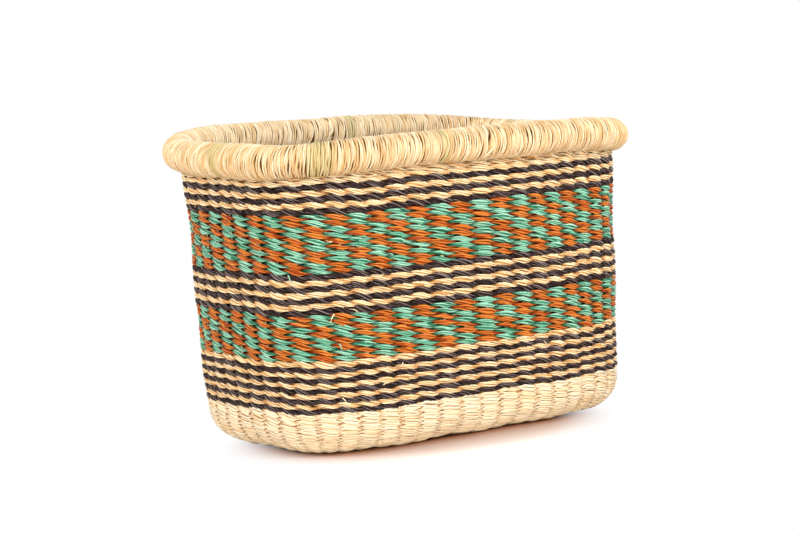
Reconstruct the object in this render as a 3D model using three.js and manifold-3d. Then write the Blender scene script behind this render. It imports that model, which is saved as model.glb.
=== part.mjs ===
// A bolga basket: an open storage basket twined from split grass, with a thick wrapped rim.
// Units are millimetres, +Z is up, and the origin lies on the floor under the middle of the rim.
// The wall is built as it is woven. Upright stakes fan out from a crossing in the base and turn
// up the sides. Each course of twining shows one layer of strands outside the stakes and one
// layer inside them. Above the last course a bundle of straw sits on the stakes and the wall,
// and a grass wrapping binds it down through the top rows.

import * as THREE from "three";
import { mergeVertices } from "three/addons/utils/BufferGeometryUtils.js";
import Module from "manifold-3d";

const wasm = await Module();
wasm.setup();

// Outline of the wall, a rectangle with very round corners, over its outer face
const mouthLength = 339.2;
const mouthWidth = 223.1;
const footLength = 331;
const footWidth = 203.6;
const cornerExponent = 4.11;
const footShiftX = 3.8; // the foot sits a little off the middle of the mouth, as woven by hand
const footShiftY = -2.6;

// Layers of the wall, from the outside in
const outerStrandDepth = 2.3;
const stakeDepth = 1.4;
const innerStrandDepth = 2;
const layerClearance = 0.45;
const seatClearance = 0.3;

// Foot, where the base turns up into the wall
const footRadius = 25;

// Courses, each the height of one twined row
const footPitch = 4.4;
const lowerStripePitch = 3.96;
const patternPitch = 4.48;
const stripePitch = 4.5;
const strandBevel = 0.9; // how far the edges of a course fall in towards its outer face
const topBandLeastHeight = 2.7;

// Stakes
const stakeCount = 54;
const stakeWidth = 3;
const crossingShare = 0.34; // size of the crossing in the base, as a share of the outline
const crossingLapShare = 0.05; // how far a stake runs into the crossing, likewise

// Rim
const rimCoreRadius = 10.5;
const rimWrapDepth = 3.27;
const rimWrapGroove = 0.8;
const rimWrapTurns = 96;
const rimOutset = 0.84; // middle of the rim beyond the wall's outer face
const rimSlotClearance = 0.7;
const rimTilt = 2.47; // the rim's height rises and falls as it goes round
const rimLean = 2.87;
const rimSag = 3.89;
const rimTwist = 1.75;

// Fineness of the mesh
const courseStations = 32;
const turnShare = 0.5; // share of the stations that follows the turning of the outline
const rimCoreStations = 48;
const rimWrapSides = 8;
const outlineSamples = 1440;
const footTurnShares = [0, 1 / 3, 2 / 3, 1];

// Finishes of the grass: its colour, and its roughness from 0 to 1
const straw = { color: "#e6cd98", roughness: 0.8 };
const blackGrass = { color: "#2e292c", roughness: 0.6 };
const tealAndRustGrass = { color: "#8d8a55", roughness: 0.7 };
const stakeGrass = { color: "#d2b57a", roughness: 0.8 };
const rimGrass = { color: "#e8d09a", roughness: 0.65 };

// A point of the unit outline, at parameter t from 0 to a full turn
function unitOutline(t) {
  const power = 2 / cornerExponent;
  const c = Math.cos(t);
  const s = Math.sin(t);
  return [Math.sign(c) * Math.abs(c) ** power, Math.sign(s) * Math.abs(s) ** power];
}

// Outward direction of an outline of half sizes a and b, at its point x, y
function outwardOf(x, y, a, b) {
  const nx = (Math.sign(x) * Math.abs(x / a) ** (cornerExponent - 1)) / a;
  const ny = (Math.sign(y) * Math.abs(y / b) ** (cornerExponent - 1)) / b;
  const length = Math.hypot(nx, ny);
  return [nx / length, ny / length];
}

// Heights of the courses, from the bottom up. A band is a stack of like nodes.
const bands = [];
let bandBottom = footRadius + seatClearance;
function addBand(name, rows, pitch, finish) {
  bands.push({ name, bottom: bandBottom, top: bandBottom + rows * pitch - seatClearance, finish });
  bandBottom += rows * pitch;
}
let blackCount = 0;
let naturalCount = 0;
function addStripes(blackRows, pitch) {
  for (let row = 0; row < blackRows; row += 1) {
    blackCount += 1;
    addBand(`black_course_${blackCount}`, 1, pitch, blackGrass);
    if (row < blackRows - 1) {
      naturalCount += 1;
      addBand(`natural_course_${naturalCount}`, 1, pitch, straw);
    }
  }
}
function addPattern(place, blocks) {
  for (let block = 1; block <= blocks; block += 1) {
    addBand(`pattern_${place}_${block}`, 2, patternPitch, tealAndRustGrass);
  }
}
addBand("foot_band", 2, footPitch, straw);
addStripes(5, lowerStripePitch);
naturalCount += 1;
addBand(`natural_course_${naturalCount}`, 1, patternPitch, straw);
addPattern("lower", 4);
addStripes(4, stripePitch);
addPattern("upper", 5);
addStripes(3, stripePitch);

// The rim rests on the top band, whose least height is where the rim dips most
const rimWave = (t) =>
  rimLean * Math.sin(t) -
  rimTilt * Math.cos(t) -
  rimSag * Math.cos(2 * t) -
  rimTwist * Math.sin(2 * t);
let rimDip = 0;
for (let i = 0; i < outlineSamples; i += 1) {
  rimDip = Math.max(rimDip, -rimWave((i / outlineSamples) * 2 * Math.PI));
}
const topBandBottom = bandBottom;
const rimHeight = topBandBottom + topBandLeastHeight + seatClearance + rimCoreRadius + rimDip;

// Half sizes and middle of the wall's outline at a height
function outlineAt(height) {
  const share = height / rimHeight;
  return {
    a: THREE.MathUtils.lerp(footLength, mouthLength, share) / 2,
    b: THREE.MathUtils.lerp(footWidth, mouthWidth, share) / 2,
    x: footShiftX * (1 - share),
    y: footShiftY * (1 - share),
  };
}

// A point beside the wall's outline: outset is positive outwards
function wallPoint(t, height, outset) {
  const { a, b, x, y } = outlineAt(height);
  const [ux, uy] = unitOutline(t);
  const [nx, ny] = outwardOf(ux * a, uy * b, a, b);
  return new THREE.Vector3(x + ux * a + nx * outset, y + uy * b + ny * outset, height);
}

// Parameters of stations round the outline. With a turn share of zero they stand at an equal
// pitch, and with more they gather where the outline turns.
function stationsRound(count, share) {
  const { a, b } = outlineAt(rimHeight / 2);
  const weights = [0];
  let lastPoint = null;
  let lastNormal = null;
  const arcs = [];
  const turns = [];
  for (let i = 0; i <= outlineSamples; i += 1) {
    const [ux, uy] = unitOutline((i / outlineSamples) * 2 * Math.PI);
    const point = [ux * a, uy * b];
    const normal = outwardOf(...point, a, b);
    if (lastPoint) {
      arcs.push(Math.hypot(point[0] - lastPoint[0], point[1] - lastPoint[1]));
      const cross = lastNormal[0] * normal[1] - lastNormal[1] * normal[0];
      turns.push(Math.abs(Math.asin(THREE.MathUtils.clamp(cross, -1, 1))));
    }
    lastPoint = point;
    lastNormal = normal;
  }
  const sum = (values) => values.reduce((total, value) => total + value, 0);
  const arcSum = sum(arcs);
  const turnSum = sum(turns);
  arcs.forEach((arc, i) => {
    weights.push(weights[i] + ((1 - share) * arc) / arcSum + (share * turns[i]) / turnSum);
  });
  const stations = [];
  let i = 0;
  for (let k = 0; k < count; k += 1) {
    const wanted = k / count;
    while (weights[i + 1] < wanted) i += 1;
    const part = (wanted - weights[i]) / (weights[i + 1] - weights[i]);
    stations.push(((i + part) / outlineSamples) * 2 * Math.PI);
  }
  return stations;
}
const courseTs = stationsRound(courseStations, turnShare);

// Parameter of the outline at any place, given in stations, between whole ones too
function between(stations, place) {
  const turns = Math.floor(place / stations.length);
  const i = Math.floor(place) - turns * stations.length;
  const from = stations[i];
  const to = i + 1 < stations.length ? stations[i + 1] : 2 * Math.PI;
  return turns * 2 * Math.PI + from + (to - from) * (place - Math.floor(place));
}

function geometryOf(points, triangles) {
  const geometry = new THREE.BufferGeometry();
  const positions = points.flatMap((point) => [point.x, point.y, point.z]);
  geometry.setAttribute("position", new THREE.Float32BufferAttribute(positions, 3));
  geometry.setIndex(triangles);
  return geometry;
}

// A closed ring: profileAt gives the section at each station, from the foot of its outer face
// up and round to the foot of its inner face
function ringGeometry(stations, profileAt) {
  const sections = stations.map(profileAt);
  const sides = sections[0].length;
  const triangles = [];
  for (let i = 0; i < stations.length; i += 1) {
    const next = (i + 1) % stations.length;
    for (let j = 0; j < sides; j += 1) {
      const up = (j + 1) % sides;
      const [a, b, c, d] = [i * sides + j, next * sides + j, next * sides + up, i * sides + up];
      triangles.push(a, b, c, a, c, d);
    }
  }
  return geometryOf(sections.flat(), triangles);
}

// A flat plate inside the outline of the foot
function plateGeometry(edgeInset, bottom, depth) {
  const edge = courseTs.map((t) => wallPoint(t, 0, -edgeInset));
  const shape = new THREE.Shape(edge.map((point) => new THREE.Vector2(point.x, point.y)));
  const geometry = new THREE.ExtrudeGeometry(shape, { depth, bevelEnabled: false });
  geometry.translate(0, 0, bottom);
  return geometry;
}

// The rounded foot of one face of the wall, as pairs of outset and height from the base up
function footArc(inset) {
  const radius = footRadius - inset;
  return footTurnShares.map((share) => {
    const angle = (1 - share) * (Math.PI / 2);
    return [-inset - radius * (1 - Math.cos(angle)), footRadius - radius * Math.sin(angle)];
  });
}
const points = (t, pairs) => pairs.map(([outset, height]) => wallPoint(t, height, outset));

const stakeFace = outerStrandDepth + layerClearance;
const stakeBack = stakeFace + stakeDepth;
const innerFace = stakeBack + layerClearance;
const wallDepth = innerFace + innerStrandDepth;

// Height at which a layer of the wall, whose outer face lies at this inset, meets the bundle
function topUnderRim(t, inset) {
  const fromMiddle = rimOutset + inset;
  const drop = Math.sqrt(rimCoreRadius ** 2 - fromMiddle ** 2);
  return rimHeight + rimWave(t) - drop - seatClearance;
}

// One course of twining outside the stakes, whose edges fall in to a groove on either side
function courseGeometry(bottom, top) {
  return ringGeometry(courseTs, (t) =>
    points(t, [
      [0, bottom + strandBevel],
      [0, top - strandBevel],
      [-outerStrandDepth, top],
      [-outerStrandDepth, bottom],
    ]),
  );
}

// The last natural rows, whose upper edge follows the rim
function topBandGeometry() {
  return ringGeometry(courseTs, (t) => {
    const top = topUnderRim(t, 0);
    return points(t, [
      [0, topBandBottom],
      [0, top],
      [-outerStrandDepth, top],
      [-outerStrandDepth, topBandBottom],
    ]);
  });
}

// A layer of the foot, from the edge of the base round the turn to the foot of the wall
function footGeometry(outerInset, innerInset) {
  const section = [...footArc(outerInset), ...footArc(innerInset).reverse()];
  return ringGeometry(courseTs, (t) => points(t, section));
}

// The inner strands of the wall, from the turn of the foot to the rim
function innerWallGeometry() {
  const bottom = footRadius + seatClearance;
  return ringGeometry(courseTs, (t) => {
    const top = topUnderRim(t, innerFace);
    return points(t, [
      [-innerFace, bottom],
      [-innerFace, top],
      [-wallDepth, top],
      [-wallDepth, bottom],
    ]);
  });
}

function manifoldOf(geometry) {
  const bare = geometry.clone();
  bare.deleteAttribute("normal");
  bare.deleteAttribute("uv");
  const merged = mergeVertices(bare);
  return new wasm.Manifold(
    new wasm.Mesh({
      numProp: 3,
      vertProperties: new Float32Array(merged.attributes.position.array),
      triVerts: new Uint32Array(merged.index.array),
    }),
  );
}

function geometryFrom(manifold) {
  const mesh = manifold.getMesh();
  const geometry = new THREE.BufferGeometry();
  geometry.setAttribute("position", new THREE.BufferAttribute(mesh.vertProperties, 3));
  geometry.setIndex(new THREE.BufferAttribute(mesh.triVerts, 1));
  return geometry;
}

// One stake: a flat strip from the crossing out to the foot, round it and up to the rim
function stakeGeometry(place) {
  const t = between(courseTs, place);
  const from = between(courseTs, Math.floor(place));
  const to = between(courseTs, Math.floor(place) + 1);
  const part = place - Math.floor(place);
  // The layers beside the stake are straight between stations, so it stands on the same chords
  const chord = (outset, height) =>
    wallPoint(from, height, outset).lerp(wallPoint(to, height, outset), part);
  const along = wallPoint(to, 0, 0).sub(wallPoint(from, 0, 0)).setZ(0).normalize();
  const { x, y } = outlineAt(0);
  const middle = new THREE.Vector3(x, y, 0);
  const inCrossing = (height) =>
    chord(-footRadius, 0)
      .sub(middle)
      .multiplyScalar(crossingShare - crossingLapShare)
      .add(middle)
      .setZ(height);
  const top = topUnderRim(t, stakeFace);
  const face = [...footArc(stakeFace), [-stakeFace, top]].map((pair) => chord(...pair));
  const back = [...footArc(stakeBack), [-stakeBack, top]].map((pair) => chord(...pair));
  const sections = [
    [inCrossing(stakeFace), inCrossing(stakeBack)],
    ...face.map((point, i) => [point, back[i]]),
  ];
  const half = stakeWidth / 2;
  const vertices = sections.flatMap(([outer, inner]) => [
    outer.clone().addScaledVector(along, -half),
    outer.clone().addScaledVector(along, half),
    inner.clone().addScaledVector(along, half),
    inner.clone().addScaledVector(along, -half),
  ]);
  const triangles = [0, 3, 2, 0, 2, 1];
  for (let i = 0; i < sections.length - 1; i += 1) {
    for (let j = 0; j < 4; j += 1) {
      const next = (j + 1) % 4;
      const [a, b, c, d] = [i * 4 + j, i * 4 + next, i * 4 + 4 + next, i * 4 + 4 + j];
      triangles.push(a, b, c, a, c, d);
    }
  }
  const last = (sections.length - 1) * 4;
  triangles.push(last, last + 1, last + 2, last, last + 2, last + 3);
  return geometryOf(vertices, triangles);
}

// The stakes and their crossing, which the twining of the base holds as one
function stakesGeometry() {
  const { x, y } = outlineAt(0);
  const rim = courseTs.map((t) => {
    const point = wallPoint(t, 0, -footRadius);
    return new THREE.Vector2(
      x + (point.x - x) * crossingShare,
      y + (point.y - y) * crossingShare,
    );
  });
  const crossing = new THREE.ExtrudeGeometry(new THREE.Shape(rim), {
    depth: stakeDepth,
    bevelEnabled: false,
  });
  crossing.translate(0, 0, stakeFace);
  const arcTs = stationsRound(stakeCount, 0);
  let joined = manifoldOf(crossing);
  for (const t of arcTs) {
    // The stake's place in course stations, so that it shares their chords
    let i = courseStations - 1;
    while (courseTs[i] > t) i -= 1;
    const end = i + 1 < courseStations ? courseTs[i + 1] : 2 * Math.PI;
    const place = i + (t - courseTs[i]) / (end - courseTs[i]);
    joined = joined.add(manifoldOf(stakeGeometry(place)));
  }
  return geometryFrom(joined);
}

// The rim. Its section is drawn round the middle of the bundle, with angle 0 outwards and a
// quarter turn straight up. The wrapping is open below, where the wall comes in.
const rimWrapInner = rimCoreRadius + seatClearance;
const rimWrapOuter = rimWrapInner + rimWrapDepth;
// Away from the rim the wall leans in or out, so the slot that it comes through is wider
const footShift = Math.hypot(footShiftX, footShiftY);
const [lengthGain, widthGain] = [mouthLength - footLength, mouthWidth - footWidth];
const leanIn = Math.max(0, Math.max(lengthGain, widthGain) / 2 + footShift) / rimHeight;
const leanOut = Math.max(0, footShift - Math.min(lengthGain, widthGain) / 2) / rimHeight;
const slotOutside = rimSlotClearance - rimOutset + leanOut * rimWrapOuter;
const slotInside = -rimOutset - wallDepth - leanIn * rimWrapOuter - rimSlotClearance;
const below = (radius, outset) => -Math.acos(outset / radius);
const lipAngles = (radius) => [below(radius, slotOutside), 2 * Math.PI + below(radius, slotInside)];

function rimPoint(t, radius, angle) {
  const point = wallPoint(t, rimHeight, rimOutset + radius * Math.cos(angle));
  point.z = rimHeight + rimWave(t) + radius * Math.sin(angle);
  return point;
}

const rimSides = rimWrapSides - 1;
const anglesOf = (radius) => {
  const [from, to] = lipAngles(radius);
  return Array.from({ length: rimWrapSides }, (_, j) => from + ((to - from) * j) / rimSides);
};
const rimCoreTs = stationsRound(rimCoreStations, 0);

function rimCoreGeometry() {
  const angles = anglesOf(rimWrapInner);
  const underside = (angles[rimSides] + angles[0] + 2 * Math.PI) / 2;
  return ringGeometry(rimCoreTs, (t) =>
    [...angles, underside].map((angle) => rimPoint(t, rimCoreRadius, angle)),
  );
}

// The wrapping, a ribbed sleeve: each turn has a crest and a groove, and slants by one turn
function rimWrappingGeometry() {
  const rings = rimWrapTurns * 2;
  const perCore = rings / rimCoreStations;
  const innerAngles = anglesOf(rimWrapInner);
  const vertices = [];
  for (let ring = 0; ring < rings; ring += 1) {
    const radius = ring % 2 ? rimWrapOuter - rimWrapGroove : rimWrapOuter;
    anglesOf(radius).forEach((angle) => {
      const slant = (angle - Math.PI / 2) / Math.PI;
      const place = (ring + slant) / perCore;
      vertices.push(rimPoint(between(rimCoreTs, place), radius, angle));
    });
  }
  const innerStart = vertices.length;
  for (const t of rimCoreTs) {
    innerAngles.forEach((angle) => vertices.push(rimPoint(t, rimWrapInner, angle)));
  }
  const outer = (ring, j) => (ring % rings) * rimWrapSides + j;
  const inner = (q, j) => innerStart + (q % rimCoreStations) * rimWrapSides + j;
  const triangles = [];
  for (let ring = 0; ring < rings; ring += 1) {
    for (let j = 0; j < rimSides; j += 1) {
      const [a, b] = [outer(ring, j), outer(ring + 1, j)];
      const [c, d] = [outer(ring + 1, j + 1), outer(ring, j + 1)];
      triangles.push(a, b, c, a, c, d);
    }
  }
  for (let q = 0; q < rimCoreStations; q += 1) {
    for (let j = 0; j < rimSides; j += 1) {
      const [a, b, c, d] = [inner(q, j), inner(q + 1, j), inner(q + 1, j + 1), inner(q, j + 1)];
      triangles.push(a, c, b, a, d, c);
    }
    const middle = Math.floor(perCore / 2);
    for (let k = 0; k < perCore; k += 1) {
      const ring = q * perCore + k;
      const near = q + (k < middle ? 0 : 1);
      triangles.push(outer(ring + 1, 0), outer(ring, 0), inner(near, 0));
      triangles.push(outer(ring, rimSides), outer(ring + 1, rimSides), inner(near, rimSides));
    }
    const ring = q * perCore + middle;
    triangles.push(outer(ring, 0), inner(q, 0), inner(q + 1, 0));
    triangles.push(inner(q, rimSides), outer(ring, rimSides), inner(q + 1, rimSides));
  }
  return geometryOf(vertices, triangles);
}

const basket = new THREE.Group();
function addPart(name, geometry, finish) {
  const material = new THREE.MeshStandardMaterial({ ...finish, metalness: 0 });
  const mesh = new THREE.Mesh(geometry, material);
  mesh.name = name;
  basket.add(mesh);
}

const floorInset = footRadius + seatClearance;
addPart("base_weave", plateGeometry(floorInset, 0, outerStrandDepth), straw);
addPart("foot_weave", footGeometry(0, outerStrandDepth), straw);
for (const { name, bottom, top, finish } of bands) {
  addPart(name, courseGeometry(bottom, top), finish);
}
addPart("top_weave", topBandGeometry(), straw);
addPart("stakes", stakesGeometry(), stakeGrass);
addPart("inner_floor", plateGeometry(floorInset, innerFace, innerStrandDepth), straw);
addPart("inner_foot", footGeometry(innerFace, wallDepth), straw);
addPart("inner_wall", innerWallGeometry(), straw);
addPart("rim_core", rimCoreGeometry(), stakeGrass);
addPart("rim_wrapping", rimWrappingGeometry(), rimGrass);

export default basket;
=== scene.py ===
import math
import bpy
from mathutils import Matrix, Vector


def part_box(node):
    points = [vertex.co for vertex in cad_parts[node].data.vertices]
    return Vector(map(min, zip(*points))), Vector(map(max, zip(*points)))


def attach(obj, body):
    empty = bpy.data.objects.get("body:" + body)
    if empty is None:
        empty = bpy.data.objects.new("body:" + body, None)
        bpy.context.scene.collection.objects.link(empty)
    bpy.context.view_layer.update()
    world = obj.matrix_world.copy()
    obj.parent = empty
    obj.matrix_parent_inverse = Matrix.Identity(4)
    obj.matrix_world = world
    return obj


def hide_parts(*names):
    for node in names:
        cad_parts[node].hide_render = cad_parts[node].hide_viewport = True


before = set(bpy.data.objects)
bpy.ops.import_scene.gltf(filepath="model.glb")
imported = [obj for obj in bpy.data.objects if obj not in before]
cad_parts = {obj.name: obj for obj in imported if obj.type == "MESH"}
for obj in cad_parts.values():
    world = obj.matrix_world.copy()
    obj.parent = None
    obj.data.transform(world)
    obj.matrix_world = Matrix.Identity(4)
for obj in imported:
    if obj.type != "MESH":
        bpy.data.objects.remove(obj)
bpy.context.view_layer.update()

import zlib

import bmesh
import bpy
import numpy as np
from bpy.props import FloatProperty, FloatVectorProperty, IntProperty, PointerProperty
from mathutils import Color, Matrix, Vector

bl_info = {
    "name": "Bolga basket",
    "version": (1, 0, 0),
    "blender": (4, 5, 0),
    "location": "View3D > Sidebar > Basket",
    "description": "Twines a grass basket round its stakes, wraps its rim and lights it",
    "category": "Object",
}

BODY = "root"
FULL_TURN = 2 * math.pi
QUARTER_TURN = math.pi / 2
SMALL_TURN = 0.01
OUTLINE_SAMPLES = 4096
COURSE_CLEARANCE = 0.0003

# Drift of the stakes: waves round the wall, and the cosine and sine part of each in stakes
STAKE_DRIFT = ((2, -0.21, 0), (3, -0.08, -0.06), (5, 0.1, -0.09))

# The wall's outer face as the frame gives it, at the middle of its lowest and highest black rows
LOW_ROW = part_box("black_course_1")
HIGH_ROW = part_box("black_course_12")
FOOT_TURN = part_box("foot_weave")
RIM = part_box("rim_wrapping")
MOUTH_HEIGHT = (RIM[0].z + RIM[1].z) / 2


def frame_outline(height):
    """Half length, half width and middle of the wall's outline at a height, from the frame."""
    low_middle = (LOW_ROW[0] + LOW_ROW[1]) / 2
    high_middle = (HIGH_ROW[0] + HIGH_ROW[1]) / 2
    share = (height - low_middle.z) / (high_middle.z - low_middle.z)
    half = ((LOW_ROW[1] - LOW_ROW[0]) / 2).lerp((HIGH_ROW[1] - HIGH_ROW[0]) / 2, share)
    middle = low_middle.lerp(high_middle, share)
    return half.x, half.y, middle.x, middle.y


def length_property(name, default, description):
    return FloatProperty(
        name=name, default=default, description=description, unit="LENGTH", precision=5
    )


def share_property(name, default, description):
    return FloatProperty(name=name, default=default, description=description, precision=3)


def count_property(name, default, description):
    return IntProperty(name=name, default=default, description=description)


def angle_property(name, default, description):
    return FloatProperty(name=name, default=default, description=description, subtype="ANGLE")


def power_property(name, default, description):
    return FloatProperty(name=name, default=default, description=description, unit="POWER")


def colour_property(name, default, description):
    return FloatVectorProperty(
        name=name,
        default=[channel / 255 for channel in default],
        description=description,
        subtype="COLOR_GAMMA",
        size=3,
        min=0,
        max=1,
    )


class BasketWall(bpy.types.PropertyGroup):
    """Sizes of the twined wall, its foot and its base."""

    corner_exponent: share_property(
        "Corner exponent", 4.11, "How square the plan is: 2 is an ellipse"
    )
    foot_radius: length_property(
        "Foot radius", FOOT_TURN[1].z, "Radius of the turn from the base up into the wall"
    )
    stakes: count_property("Stakes", 54, "Upright stakes round the wall")
    first_stake: share_property(
        "First stake", 0.35, "Place of the first stake past the end of the length, in stakes"
    )
    strand_middle: length_property(
        "Strand middle", 0.0029, "Depth of the middle of the twining under the outer face"
    )
    strand_swing: length_property(
        "Strand swing", 0.0022, "How far a strand swings out and in past the stakes"
    )
    strand_thickness: length_property(
        "Strand thickness", 0.00115, "Half thickness of a strand where it passes a stake"
    )
    crossing_thickness: length_property(
        "Crossing thickness", 0.00135, "Half thickness of a strand where two strands cross"
    )
    stake_width: length_property("Stake width", 0.003, "Width of a stake")
    stake_thickness: length_property("Stake thickness", 0.0013, "Thickness of a stake")
    wander: length_property(
        "Wander", 0.0005, "How far the rows wander up and down round the basket"
    )
    swell: length_property("Swell", 0.0007, "How far the wall swells and sinks round the basket")


def property_group(name, table, changes):
    """A property group from a table of settings, with the values that are changed in it."""
    fields = {
        key: make(key.capitalize(), changes.get(key, default), description)
        for key, (make, default, description) in table.items()
    }
    title = name.title().replace("_", "")
    return type(title, (bpy.types.PropertyGroup,), {"__annotations__": fields})


# Settings of a kind of twined row, with the values of the natural rows
TWINING = {
    "fibres": (count_property, 6, "Blades in a strand, with the one inside"),
    "blade": (share_property, 0.38, "Half width of a blade, in half widths of a strand"),
    "steps": (count_property, 6, "Steps of a strand for each stake"),
    "twist": (share_property, 0.25, "Turns of a strand for each stake"),
    "snug": (share_property, 1.1, "Height of the strands, where 1 fills the row"),
    "slope": (share_property, 0.22, "How far a strand climbs and falls in its row, in rows"),
    "waist": (share_property, 0.3, "Half height of a strand where two strands cross, in rows"),
    "pinch": (share_property, 1.3, "How short the waist is: 1 is a lens, and more is fuller"),
    # Painted shade: line darkens the edges of the blades, and crevice sets how dark a strand is
    # painted where it goes in
    "line": (share_property, 0.45, "How much deeper the edges of the blades are"),
    "crevice": (share_property, 0.3, "Brightness of a strand in the crevice where it goes in"),
    "lag": (share_property, 0.42, "How unevenly the blades of a strand come out, in radians"),
    # Painted shade: the blade inside is dark, and where it stays full it fills the holes where
    # strands cross
    "inside": (share_property, 0.28, "Brightness of the blade inside a strand"),
    "filling": (share_property, 0, "How full the blade inside stays where two strands cross"),
    "bulge": (share_property, 1, "How round a strand is, where 0 is flat"),
    "swing": (share_property, 1, "How far it swings in, where 1 is the whole wall"),
    "tone": (share_property, 0.6, "Lightness of the strands, from 0 to 1"),
    # Painted highlight: how much lighter the ridges of the blades are painted
    "glint": (share_property, 0.2, "How much lighter the ridges of the blades are"),
}
# What the kinds of twined row change in them
TWININGS = {
    "natural_twining": {},
    # The top band: a lighter tone and less painted shade, painted light that offsets the rim's
    # shadow on it
    "top_twining": {"tone": 0.8, "line": 0.25, "crevice": 0.65, "inside": 0.5},
    # Black rows: a low tone, so that the black grass's light colour shows as painted highlights on
    # the ridges
    "black_twining": {
        "snug": 1.03,
        "waist": 0.36,
        "tone": -0.2,
        "glint": 0.65,
        "line": 0.4,
        "crevice": 0.25,
        "twist": 0.6,
        "steps": 9,
        "inside": 0.36,
    },
    "dyed_twining": {
        "snug": 1.08,
        "slope": 0.26,
        "waist": 0.2,
        "pinch": 1,
        "tone": 0.5,
        "glint": 0.25,
        "crevice": 0.22,
        "twist": 0.15,
    },
    # The foot: a full, dark blade inside fills its holes with painted shade
    "foot_twining": {
        "snug": 1.22,
        "slope": 0.2,
        "waist": 0.14,
        "pinch": 3.5,
        "tone": 0.7,
        "line": 0.3,
        "crevice": 0.9,
        "twist": 0.1,
        "fibres": 5,
        "blade": 0.48,
        "steps": 8,
        "swing": 0.5,
        "bulge": 0.35,
        "lag": 0.2,
        "inside": 0.16,
        "filling": 1,
    },
    "base_twining": {
        "snug": 1.05,
        "waist": 0.4,
        "pinch": 1,
        "tone": 0.5,
        "glint": 0.1,
        "line": 0.3,
        "crevice": 0.4,
        "twist": 0.16,
        "fibres": 4,
        "blade": 0.48,
        "swing": 0.8,
    },
}


class BasketStrands(bpy.types.PropertyGroup):
    """Make-up of the twined strands."""

    sides: count_property("Sides", 3, "Sides of a blade")
    middle_height: share_property(
        "Middle height", 0.54, "Half height of a strand over a stake, in rows"
    )
    spread: share_property(
        "Spread", 0.05, "How far the blades spread where a strand comes out, in rows"
    )
    ring_share: share_property(
        "Ring of blades", 0.64, "How far the blades lie from the middle of a strand"
    )
    core_share: share_property("Core", 0.74, "Half width of the blade inside a strand")


class BasketRim(bpy.types.PropertyGroup):
    """Sizes of the bundle round the mouth and of its wrapping."""

    bundle_radius: length_property("Bundle radius", 0.0114, "Radius of the bundle of straw")
    wrap_radius: length_property("Wrap radius", 0.0128, "Radius of the middle of the wrapping")
    outset: length_property("Outset", 0.00084, "Middle of the rim beyond the wall's outer face")
    straws: count_property("Straws", 26, "Straws on the face of the bundle")
    wraps: count_property("Wraps", 440, "Turns of the wrapping")
    blades: count_property("Blades", 2, "Blades of grass in a wrap")
    blade_width: share_property("Blade width", 0.36, "Half width of a blade, in wraps")
    blade_spread: share_property(
        "Blade spread", 0.25, "How far a blade winds about its wrap's middle, in wraps"
    )
    blade_thickness: length_property(
        "Blade thickness", 0.0006, "Half thickness of a blade of the wrapping"
    )
    bunch_depth: length_property(
        "Bunch depth", 0.0004, "How far the blades of a wrap lie above and below its middle"
    )
    slant: share_property("Slant", 1.5, "How far a wrap runs along the rim, in wraps")
    slant_change: share_property(
        "Slant change", 1.2, "How far the slant changes round the rim, in wraps"
    )
    windings: share_property("Windings", 1.5, "Turns of a blade about its wrap's middle")
    parting: share_property("Parting", 0.75, "How far parted wraps move aside, in wraps")
    lip_dip: length_property("Lip dip", 0.0012, "How far the wrapping sinks in at its lips")
    swell: share_property("Swell", 0.03, "How far the rim swells and thins round the mouth")
    tilt: length_property("Tilt", 0.00247, "The rim's fall towards the end of the length")
    lean: length_property("Lean", 0.00287, "The rim's rise towards the far side")
    sag: length_property("Sag", 0.00389, "The rim's fall at both ends and rise at both sides")
    twist: length_property("Twist", 0.00175, "The rim's rise and fall at its corners")


def grass_values(light, deep, edge, crevice, **finish):
    return {"light": light, "deep": deep, "edge": edge, "crevice": crevice, **finish}


# Settings of a kind of grass, with the values of the natural strands
GRASS = {
    "light": (colour_property, (253, 234, 194), "Palest strands"),
    "deep": (colour_property, (248, 208, 150), "Darkest strands"),
    # Painted shade: the edge colour is painted between the blades, and the crevice colour where a
    # strand goes in
    "edge": (colour_property, (222, 162, 94), "Edges of the blades"),
    "crevice": (colour_property, (84, 38, 12), "Where a strand goes in"),
    "roughness": (share_property, 0.4, "How dull the grass is"),
    "shine": (share_property, 0.08, "How strongly it shines"),
    "streaks": (share_property, 0.7, "How far its streaks change its tone"),
}
# What the kinds of grass change in them, by the name of their material
GRASSES = {
    "natural_strands": {},
    "pale_strands": grass_values((243, 229, 200), (238, 210, 166), (222, 180, 120), (160, 92, 36)),
    # Black grass: its light colour is mostly painted highlight on the ridges of the blades
    "black_strands": grass_values(
        (170, 154, 150), (60, 45, 44), (38, 27, 26), (12, 6, 4), roughness=0.3, shine=0.04
    ),
    "teal_strands": grass_values(
        (168, 219, 192), (106, 180, 145), (48, 124, 92), (16, 34, 20), roughness=0.3, shine=0.15
    ),
    "rust_strands": grass_values(
        (224, 141, 60), (195, 91, 27), (158, 62, 14), (56, 18, 5), roughness=0.3, shine=0.15
    ),
    "rim_wraps": grass_values(
        (239, 225, 194),
        (212, 172, 116),
        (194, 146, 80),
        (118, 62, 20),
        roughness=0.35,
        streaks=2.2,
    ),
    "green_rim_wraps": grass_values(
        (212, 200, 156), (186, 170, 116), (194, 146, 80), (118, 62, 20), streaks=2.2
    ),
    # The bundle's straw: dark brown, partly its own colour and partly painted shade for the slits
    # between the wraps where it shows
    "rim_straws": grass_values(*4 * [(112, 64, 28)], roughness=0.7),
}


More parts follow.
